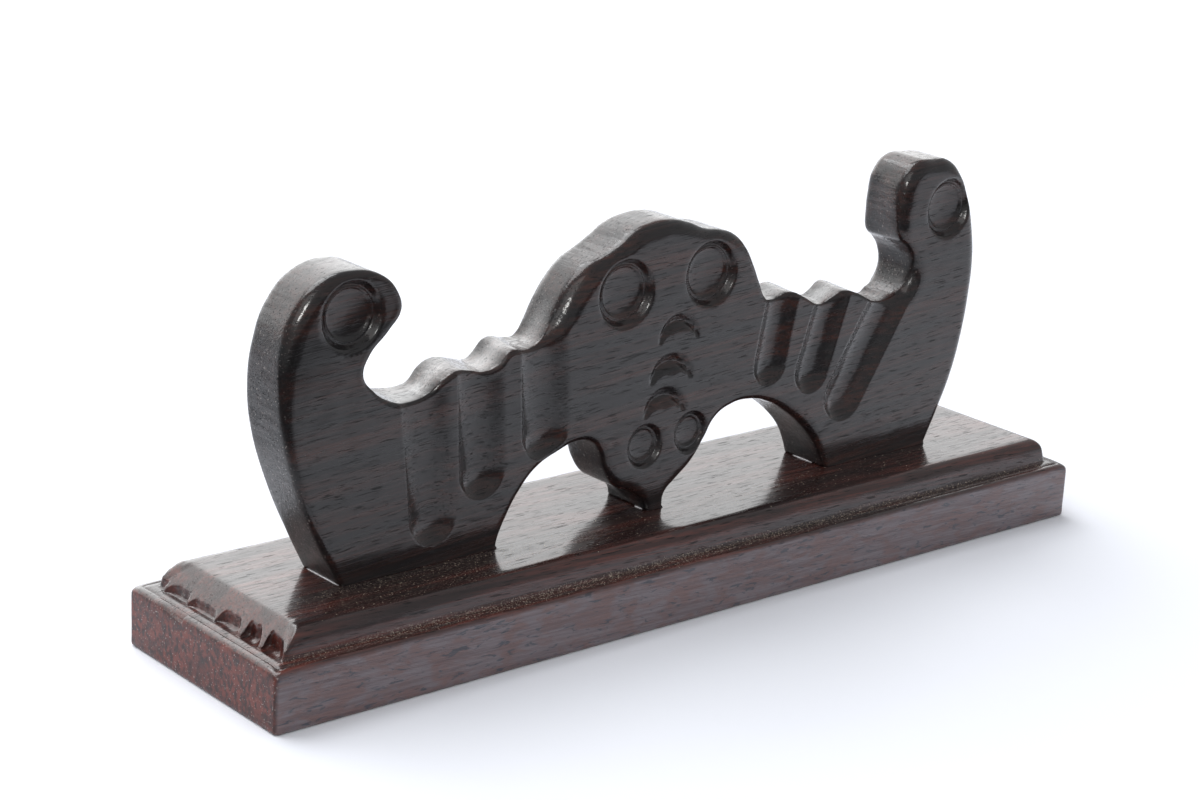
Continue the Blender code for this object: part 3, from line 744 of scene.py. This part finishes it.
def flute_depth(across, up, flute):
    """A trough that is deepest along its middle, with a brink of its own on its left side."""
    (top_x, top_z), (x, z), half_width, depth, kept, softness = flute
    along = np.array((top_x - x, top_z - z))
    reach = np.linalg.norm(along)
    along /= reach
    rise = (across - x) * along[0] + (up - z) * along[1]
    side = (across - x) * along[1] - (up - z) * along[0]
    past = np.clip(np.where(rise > 0.0, np.maximum(rise - reach, 0.0), -rise) / half_width, 0.0, 1.0)
    leaning = np.clip(side / (half_width * np.sqrt(1.0 - past**2 + 1e-6)), -1.0, 1.0)
    left = np.clip(-leaning, 0.0, 1.0)
    right = np.clip(leaning, 0.0, 1.0)
    left_side = 1.0 - (1.0 - LEFT_BRINK) * left**1.9 - LEFT_BRINK * left**7
    right_side = (1.0 - softness) * (1.0 - right**2) + softness * (0.5 + 0.5 * np.cos(math.pi * right))
    lasting = kept + (1.0 - kept) * np.clip(1.0 - rise / reach, 0.0, 1.0) ** 1.5
    return depth * lasting * (1.0 - past**2.6) * np.where(leaning < 0.0, left_side, right_side)


def carved_depth(points):
    """How deep the carving is at each point of a face."""
    across, up = points[:, 0], points[:, 1]
    depth = np.zeros(len(points))
    for flute in FLUTES:
        depth = np.maximum(depth, flute_depth(across, up, flute))
    for crescent in CRESCENTS:
        depth = np.maximum(depth, crescent_depth(across, up, crescent))
    for eye in EYES:
        depth = np.maximum(depth, eye_depth(across, up, eye, EYE_CUT))
    for nostril in NOSTRILS:
        depth = np.maximum(depth, eye_depth(across, up, nostril, NOSTRIL_CUT))
    return depth


def ring_points(x, z, radii, spacing, start=0.0, end=2.0 * math.pi):
    """Points along rings or arcs round a middle, staggered from each ring to the next."""
    points = []
    for number, radius in enumerate(radii):
        count = max(6, int((end - start) * radius / spacing))
        turns = start + (end - start) * (np.arange(count) + 0.5 * (number % 2)) / count
        points.append(np.column_stack((x + radius * np.cos(turns), z + radius * np.sin(turns))))
    return np.concatenate(points)


def feature_points():
    """Points that follow the carving's own lines, so that its edges come out crisp."""
    points = []
    wall_rings = (0.1, 0.22, 0.36, 0.48, 0.75, 1.0, 1.25, 1.45, 1.75)
    dish_rings = (0.1, 0.3, 0.5, 0.7, 0.8, 0.86, 0.92, 0.97, 1.0)
    for x, z, opening, ring in EYES + NOSTRILS:
        wall = [ring + share * (opening - ring) / WALL_REACH for share in wall_rings]
        dish = [share * ring for share in dish_rings]
        points.append(ring_points(x, z, dish + wall, 0.42))
        points.append(np.array([(x, z)]))
    crescent_rings = (-0.15, 0.1, 0.35, 0.8, 1.2, 1.36, 1.5, 1.75, 2.1, 2.5)
    for x, z, radius, boldness in CRESCENTS:
        radii = [radius - inset * boldness for inset in crescent_rings]
        points.append(ring_points(x, z, radii, 0.36, -0.2, math.pi + 0.2))
    for (top_x, top_z), (x, z), half_width, _, _, _ in FLUTES:
        along = np.array((top_x - x, top_z - z))
        reach = np.linalg.norm(along)
        along /= reach
        for number, beside in enumerate((-1.1, -0.7, -0.35, 0.0, 0.35, 0.7, 1.1)):
            rises = np.arange(0.0, reach + 1.0, 0.5) + 0.25 * (number % 2)
            for edge in (-half_width, half_width):
                side = edge + beside
                points.append(np.column_stack((
                    x + rises * along[0] + side * along[1], z + rises * along[1] - side * along[0],
                )))
        slant = math.atan2(along[1], along[0])
        radii = [half_width + beside for beside in (-1.4, -1.05, -0.7, -0.35, 0.0, 0.35)]
        points.append(ring_points(x, z, radii, 0.5, slant + math.pi / 2, slant + 3 * math.pi / 2))
    return np.concatenate(points)


def thinned(points, kept, gap):
    """The points that are at least a gap from those kept so far, and from each other."""
    tree = kdtree.KDTree(len(kept))
    for number, (x, y) in enumerate(kept):
        tree.insert((x, y, 0.0), number)
    tree.balance()
    clear = [point for point in points if tree.find((*point, 0.0))[2] > gap]
    cells = {}
    result = []
    for x, y in clear:
        cell = (int(x // gap), int(y // gap))
        near = [
            other for i in (-1, 0, 1) for j in (-1, 0, 1)
            for other in cells.get((cell[0] + i, cell[1] + j), ())
        ]
        if all((x - a) ** 2 + (y - b) ** 2 > gap * gap for a, b in near):
            cells.setdefault(cell, []).append((x, y))
            result.append((x, y))
    return np.array(result).reshape(-1, 2)


# How far in from the outline the rows of points along it lie, and the spacing of the plain face's points.
ARRIS_RINGS = (0.06, 0.16, 0.3, 0.48, 0.72, 1.05, 1.45, 2.0, 2.7, 3.5, 4.3)
FACE_STEP = 0.72


def face_points(outline):
    """The outline and the points inside it that both faces share."""
    ahead, behind = np.roll(outline, -1, 0), np.roll(outline, 1, 0)
    tangent = ahead - behind
    tangent /= np.linalg.norm(tangent, axis=1)[:, None]
    inwards = np.column_stack((tangent[:, 1], -tangent[:, 0]))
    rings = []
    for far in ARRIS_RINGS:
        ring = outline + inwards * far
        gap, _ = distance_to(ring, outline)
        rings.append(ring[(gap > 0.93 * far) & inside(ring, outline)])
    carved = feature_points()
    carved = carved[inside(carved, outline)]
    gap, _ = distance_to(carved, outline)
    kept = outline
    chosen = thinned(carved[gap > 0.3], kept, 0.09)
    kept = np.concatenate((kept, chosen))
    for far, ring in zip(ARRIS_RINGS, rings):
        extra = thinned(ring, kept, 0.05 if far < 0.2 else 0.13)
        kept = np.concatenate((kept, extra))
    plain = grid_inside(outline, FACE_STEP, 0.5)
    extra = thinned(plain, kept, 0.42)
    return np.concatenate((kept, extra))


# The height of a rounded arris for each mm of its width.
ARRIS_HEIGHT = 0.86


def arris_drop(gap, arris):
    """How far the rounded arris has dropped at this distance from the outline."""
    share = np.clip(gap / arris, 0.0, 1.0)
    height = ARRIS_HEIGHT * arris
    return height * (1.0 - np.sqrt(np.clip(1.0 - (1.0 - share) ** 2, 0.0, 1.0)))


# How far the back's outline lies to the right of the front's and above it, along the arms' tops.
BACK_SLIDE = 2.8
BACK_RISE = -0.7
ARM_TOPS = (
    (-66.0, 0.0), (-58.0, 1.0), (-34.0, 1.0), (-27.0, 0.0), (24.0, 0.0), (31.0, 1.0), (56.0, 1.0),
    (61.0, 0.0),
)


def lean_of_back(across, up, gap):
    """How far the back's outline is from the front's: the arms' waves were cut on a slant."""
    on_arms = between(across, ARM_TOPS)
    near_top = np.exp(-gap / 3.5) * (up > 26.0)
    return np.column_stack((BACK_SLIDE * on_arms * near_top, BACK_RISE * on_arms * near_top))


def signed_area(flat, face):
    """Twice a flat triangle's area, which is above 0 where its corners run anticlockwise."""
    (ax, ay), (bx, by), (cx, cy) = flat[face[0]], flat[face[1]], flat[face[2]]
    return (bx - ax) * (cy - ay) - (cx - ax) * (by - ay)


WALL_ROWS = 9
# The waves that the scraper left in the faces, in mm, and how deep it went over all.
FACE_WAVE = 0.05
FACE_RIPPLE = 0.03
FACE_SCRAPED = 0.08


def build_board_mesh():
    """Two carved faces on the same flat points, and the wall between their outlines."""
    outline, arrises, seats = board_outline()
    flat = face_points(outline)
    count = len(outline)
    triangles = triangles_over(outline, flat[count:])
    gap, place = distance_to(flat, outline)
    first = place.astype(int) % count
    arris = arrises[first] + (arrises[(first + 1) % count] - arrises[first]) * (place - place.astype(int))
    # A foot's seat has no arris of its own, so beside it the distance to the nearest other edge counts.
    by_seat = seats[first]
    rounded = [number for number in range(count) if not seats[number]]
    edge_tree = kdtree.KDTree(len(rounded))
    for number in rounded:
        edge_tree.insert((*outline[number], 0.0), number)
    edge_tree.balance()
    arris_gap = gap.copy()
    arris_gap[by_seat] = [edge_tree.find((*point, 0.0))[2] for point in flat[by_seat]]
    arris[by_seat] = 1.0
    drop = arris_drop(arris_gap, np.maximum(arris, 0.6))
    waves = np.array([
        FACE_WAVE * swell(x, 0.0, z, 9.0, 21.0) + FACE_RIPPLE * swell(x, 0.0, z, 3.5, 31.0) for x, z in flat
    ])
    depth = drop + carved_depth(flat) * np.clip(1.0 - drop / 2.4, 0.0, 1.0)
    depth += (waves + FACE_SCRAPED) * np.clip(gap / 1.5, 0.0, 1.0)
    lean = lean_of_back(flat[:, 0], flat[:, 1], gap)
    front = np.column_stack((flat[:, 0], FACE_FRONT + depth, flat[:, 1] + seat))
    back = np.column_stack((flat[:, 0] + lean[:, 0], FACE_BACK - depth, flat[:, 1] + lean[:, 1] + seat))
    points = [front, back]
    faces = [face if signed_area(flat, face) > 0 else face[::-1] for face in triangles]
    total = len(flat)
    faces_back = [[corner + total for corner in face[::-1]] for face in faces]
    walls = []
    rows = [np.arange(count)]
    for row in range(1, WALL_ROWS):
        share = row / WALL_ROWS
        slid = share * share * (3.0 - 2.0 * share)
        ring = front[:count] * (1.0 - share) + back[:count] * share
        ring[:, 0] = front[:count, 0] + lean[:count, 0] * slid
        ring[:, 2] = front[:count, 2] + lean[:count, 1] * slid
        rows.append(2 * total + (row - 1) * count + np.arange(count))
        points.append(ring)
    rows.append(total + np.arange(count))
    for upper, lower in zip(rows, rows[1:]):
        for here in range(count):
            after = (here + 1) % count
            walls.append((upper[here], upper[after], lower[after], lower[here]))
    return np.concatenate(points), faces + faces_back + walls


board_wood = streaked_hardwood(
    "board_hardwood", black=(0.0085, 0.0068, 0.0078), red=(0.044, 0.015, 0.011), pale_film_and_front_light=(0.05, 0.045, 0.05),
    ends=(0.016, 0.012, 0.012), figure=(70.0, 7.0, 3.6), grain_rise=4.0, gloss=0.26,
)
board = add_mesh("board", *build_board_mesh())
places, facing = places_and_facing(board)
low_on_wing = between(places[:, 2] - seat, ((4.0, 0.6), (14.0, 1.0), (32.0, 0.9), (44.0, 0.6), (58.0, 0.2)))
on_wall = np.clip(1.4 - 2.0 * np.abs(facing[:, 1]), 0.0, 1.0) * (places[:, 2] > seat + 20.0)
patches = [0.55 + 0.9 * swell(x, y, z, 11.0, 6.0) for x, y, z in places]
paint(board, "rasped", on_wall * np.clip(patches, 0.0, 1.0))
paint(board, "end_grain", np.clip(np.abs(facing[:, 0]) * 1.5 - 0.6, 0.0, 1.0) * low_on_wing)
board.data.materials.append(board_wood)
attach(board, "root")
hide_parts("carved_upright")

# ---------------------------------------------------------------- Pegs
# Five turned pegs of pale, straight-grained wood, half in the plinth and half in the feet, unseen.

peg_wood = streaked_hardwood(
    "peg_softwood", black=(0.20, 0.11, 0.055), red=(0.42, 0.27, 0.15), pale_film_and_front_light=(0.4, 0.3, 0.2),
    ends=(0.36, 0.23, 0.13), figure=(6.0, 1.6, 9.0), grain_rise=90.0, gloss=0.5,
)
for name, cad_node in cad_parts.items():
    if name.endswith("_peg") or "_peg_" in name:
        for holder in cad_node.material_slots:
            holder.material = peg_wood

# ---------------------------------------------------------------- Glue
# Clear glue squeezed out from under the feet has dried to a glossy bead along each foot's left end, and
# to a few drops at its front corners. It holds the board down, round the pegs.

# The bead's radius, the drops' length, and where along each foot's left end the bead starts and stops, as
# shares of the board's thickness from its front.
GLUE_BEAD = 0.17
GLUE_DROP = 0.34
GLUE_ALONG_END = {"left": (0.85, 0.05), "centre": (0.30, 0.12), "right": (0.75, 0.30)}


def geometry_tree(name, inputs):
    """A geometry node tree with named inputs, and its two end nodes."""
    tree = bpy.data.node_groups.new(name, "GeometryNodeTree")
    tree.interface.new_socket("Geometry", in_out="INPUT", socket_type="NodeSocketGeometry")
    for label, value in inputs.items():
        kind = "NodeSocketInt" if isinstance(value, int) else "NodeSocketFloat"
        tree.interface.new_socket(label, in_out="INPUT", socket_type=kind).default_value = value
    tree.interface.new_socket("Geometry", in_out="OUTPUT", socket_type="NodeSocketGeometry")
    return tree, node(tree, "NodeGroupInput").outputs, node(tree, "NodeGroupOutput").inputs


def grown(name, start, tree, inputs):
    """A plain mesh object that a geometry node tree makes from a start, which is then removed."""
    holder = bpy.data.objects.new(name + "_start", start)
    bpy.context.scene.collection.objects.link(holder)
    maker = holder.modifiers.new("maker", "NODES")
    maker.node_group = tree
    for socket in tree.interface.items_tree:
        if socket.in_out == "INPUT" and socket.name in inputs:
            maker[socket.identifier] = inputs[socket.name]
    seen = holder.evaluated_get(bpy.context.evaluated_depsgraph_get())
    made = bpy.data.objects.new(name, bpy.data.meshes.new_from_object(seen))
    bpy.context.scene.collection.objects.link(made)
    bpy.data.objects.remove(holder)
    return made


glue_finish, glue_tree, glue_shader = new_finish("dried_glue")
glue_where = node(glue_tree, "ShaderNodeTexCoord").outputs["Object"]
cloudy = node(glue_tree, "ShaderNodeTexNoise", Vector=glue_where, Scale=900.0, Detail=2.0)
milky = node(
    glue_tree, "ShaderNodeMix", {"data_type": "RGBA"},
    i0=cloudy.outputs["Fac"], i6=(0.72, 0.72, 0.76, 1.0), i7=(0.34, 0.31, 0.31, 1.0),
)
glue_tree.links.new(milky.outputs[2], glue_shader.inputs["Base Color"])
glue_shader.inputs["Roughness"].default_value = 0.12
glue_shader.inputs["Coat Weight"].default_value = 1.0
glue_shader.inputs["Coat Roughness"].default_value = 0.04

bead_tree, given, made_out = geometry_tree("glue_beads", {"Bead radius": GLUE_BEAD * MM, "Step": 0.14 * MM})
strands = node(
    bead_tree, "GeometryNodeResampleCurve", {"mode": "LENGTH"}, Curve=given["Geometry"], Length=given["Step"],
)
along = node(bead_tree, "GeometryNodeSplineParameter").outputs["Factor"]
centred = maths(bead_tree, "MULTIPLY_ADD", along, 2.0, -1.0)
squared = maths(bead_tree, "MULTIPLY", centred, centred)
round_ends = maths(bead_tree, "SQRT", maths(bead_tree, "SUBTRACT", 1.02, squared))
uneven = node(bead_tree, "ShaderNodeTexNoise", {"noise_dimensions": "3D"}, Scale=700.0, Detail=1.0)
thick = maths(bead_tree, "MULTIPLY_ADD", uneven.outputs["Fac"], 1.1, 0.35)
bulged = maths(bead_tree, "MULTIPLY", round_ends, thick)
ring = node(bead_tree, "GeometryNodeCurvePrimitiveCircle", Resolution=8, Radius=1.0)
beads = node(
    bead_tree, "GeometryNodeCurveToMesh", Curve=strands.outputs[0], Profile_Curve=ring.outputs[0],
    Scale=maths(bead_tree, "MULTIPLY", bulged, given["Bead radius"]), Fill_Caps=True,
)
real = node(bead_tree, "GeometryNodeRealizeInstances", Geometry=beads.outputs[0])
smooth = node(bead_tree, "GeometryNodeSetShadeSmooth", Geometry=real.outputs[0])
finished = node(bead_tree, "GeometryNodeSetMaterial", Geometry=smooth.outputs[0], Material=glue_finish)
bead_tree.links.new(finished.outputs[0], made_out["Geometry"])


def glue_runs():
    """The ends of each run of glue in millimetres, from the feet that it has come out from under."""
    depth = FACE_BACK - FACE_FRONT
    runs = []
    ahead = FACE_FRONT + 0.5
    for name, (foot_from, foot_to) in FEET.items():
        far, near = GLUE_ALONG_END[name]
        runs.append((
            (foot_from - 0.10, FACE_FRONT + far * depth), (foot_from - 0.04, FACE_FRONT + near * depth),
        ))
        for place in (foot_from + 0.25, foot_to - 0.1):
            runs.append(((place, ahead + 0.1), (place + GLUE_DROP, ahead - 0.15)))
    return runs


glue_curve = bpy.data.curves.new("glue_runs", "CURVE")
glue_curve.dimensions = "3D"
for start, end in glue_runs():
    strand = glue_curve.splines.new("POLY")
    strand.points.add(1)
    for bend, (x, y) in zip(strand.points, (start, end)):
        bend.co = (x * MM, y * MM, (seat + 0.04) * MM, 1.0)
glue = grown("glue_beads", glue_curve, bead_tree, {"Bead radius": GLUE_BEAD * MM})
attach(glue, "root")

# ---------------------------------------------------------------- Dust
# Pale dust and wood crumbs lie in the ledge's groove along the front, and on the plinth's top before
# the feet. They are loose specks that no brush has reached.

DUST_PER_SQUARE_MM = 2.6
SPECK_RADIUS = 0.07
DUST_SEED = 11

dust_finish, dust_tree, dust_shader = new_finish("settled_dust")
dust_where = node(dust_tree, "ShaderNodeTexCoord").outputs["Object"]
assorted = node(dust_tree, "ShaderNodeTexNoise", Vector=dust_where, Scale=1700.0, Detail=1.0)
crumbs = node(
    dust_tree, "ShaderNodeMix", {"data_type": "RGBA"},
    i0=assorted.outputs["Fac"], i6=(0.80, 0.68, 0.54, 1.0), i7=(0.34, 0.27, 0.22, 1.0),
)
dust_tree.links.new(crumbs.outputs[2], dust_shader.inputs["Base Color"])
dust_shader.inputs["Roughness"].default_value = 0.8

dust_sizes = {
    "Specks per square metre": DUST_PER_SQUARE_MM / MM**2, "Speck radius": SPECK_RADIUS * MM,
    "Seed": DUST_SEED,
}
speck_tree, given, made_out = geometry_tree("dust_specks", dust_sizes)
lying = node(speck_tree, "GeometryNodeInputNamedAttribute", {"data_type": "FLOAT"}, Name="dust")
crowd = maths(speck_tree, "MULTIPLY", lying.outputs["Attribute"], given["Specks per square metre"])
spots = node(
    speck_tree, "GeometryNodeDistributePointsOnFaces",
    Mesh=given["Geometry"], Density=crowd, Seed=given["Seed"],
)
speck = node(speck_tree, "GeometryNodeMeshIcoSphere", Radius=given["Speck radius"], Subdivisions=1)
sizes = node(
    speck_tree, "FunctionNodeRandomValue", {"data_type": "FLOAT_VECTOR"},
    i0=(0.3, 0.3, 0.3), i1=(2.1, 1.2, 0.9), Seed=given["Seed"],
)
turns = node(
    speck_tree, "FunctionNodeRandomValue", {"data_type": "FLOAT_VECTOR"},
    i0=(0.0, 0.0, 0.0), i1=(math.pi, math.pi, math.pi), Seed=given["Seed"],
)
placed = node(
    speck_tree, "GeometryNodeInstanceOnPoints", Points=spots.outputs["Points"],
    Instance=speck.outputs["Mesh"], Rotation=turns.outputs[0], Scale=sizes.outputs[0],
)
real = node(speck_tree, "GeometryNodeRealizeInstances", Geometry=placed.outputs[0])
finished = node(speck_tree, "GeometryNodeSetMaterial", Geometry=real.outputs[0], Material=dust_finish)
speck_tree.links.new(finished.outputs[0], made_out["Geometry"])
dust = grown("dust_specks", plinth.data, speck_tree, dust_sizes)
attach(dust, "root")
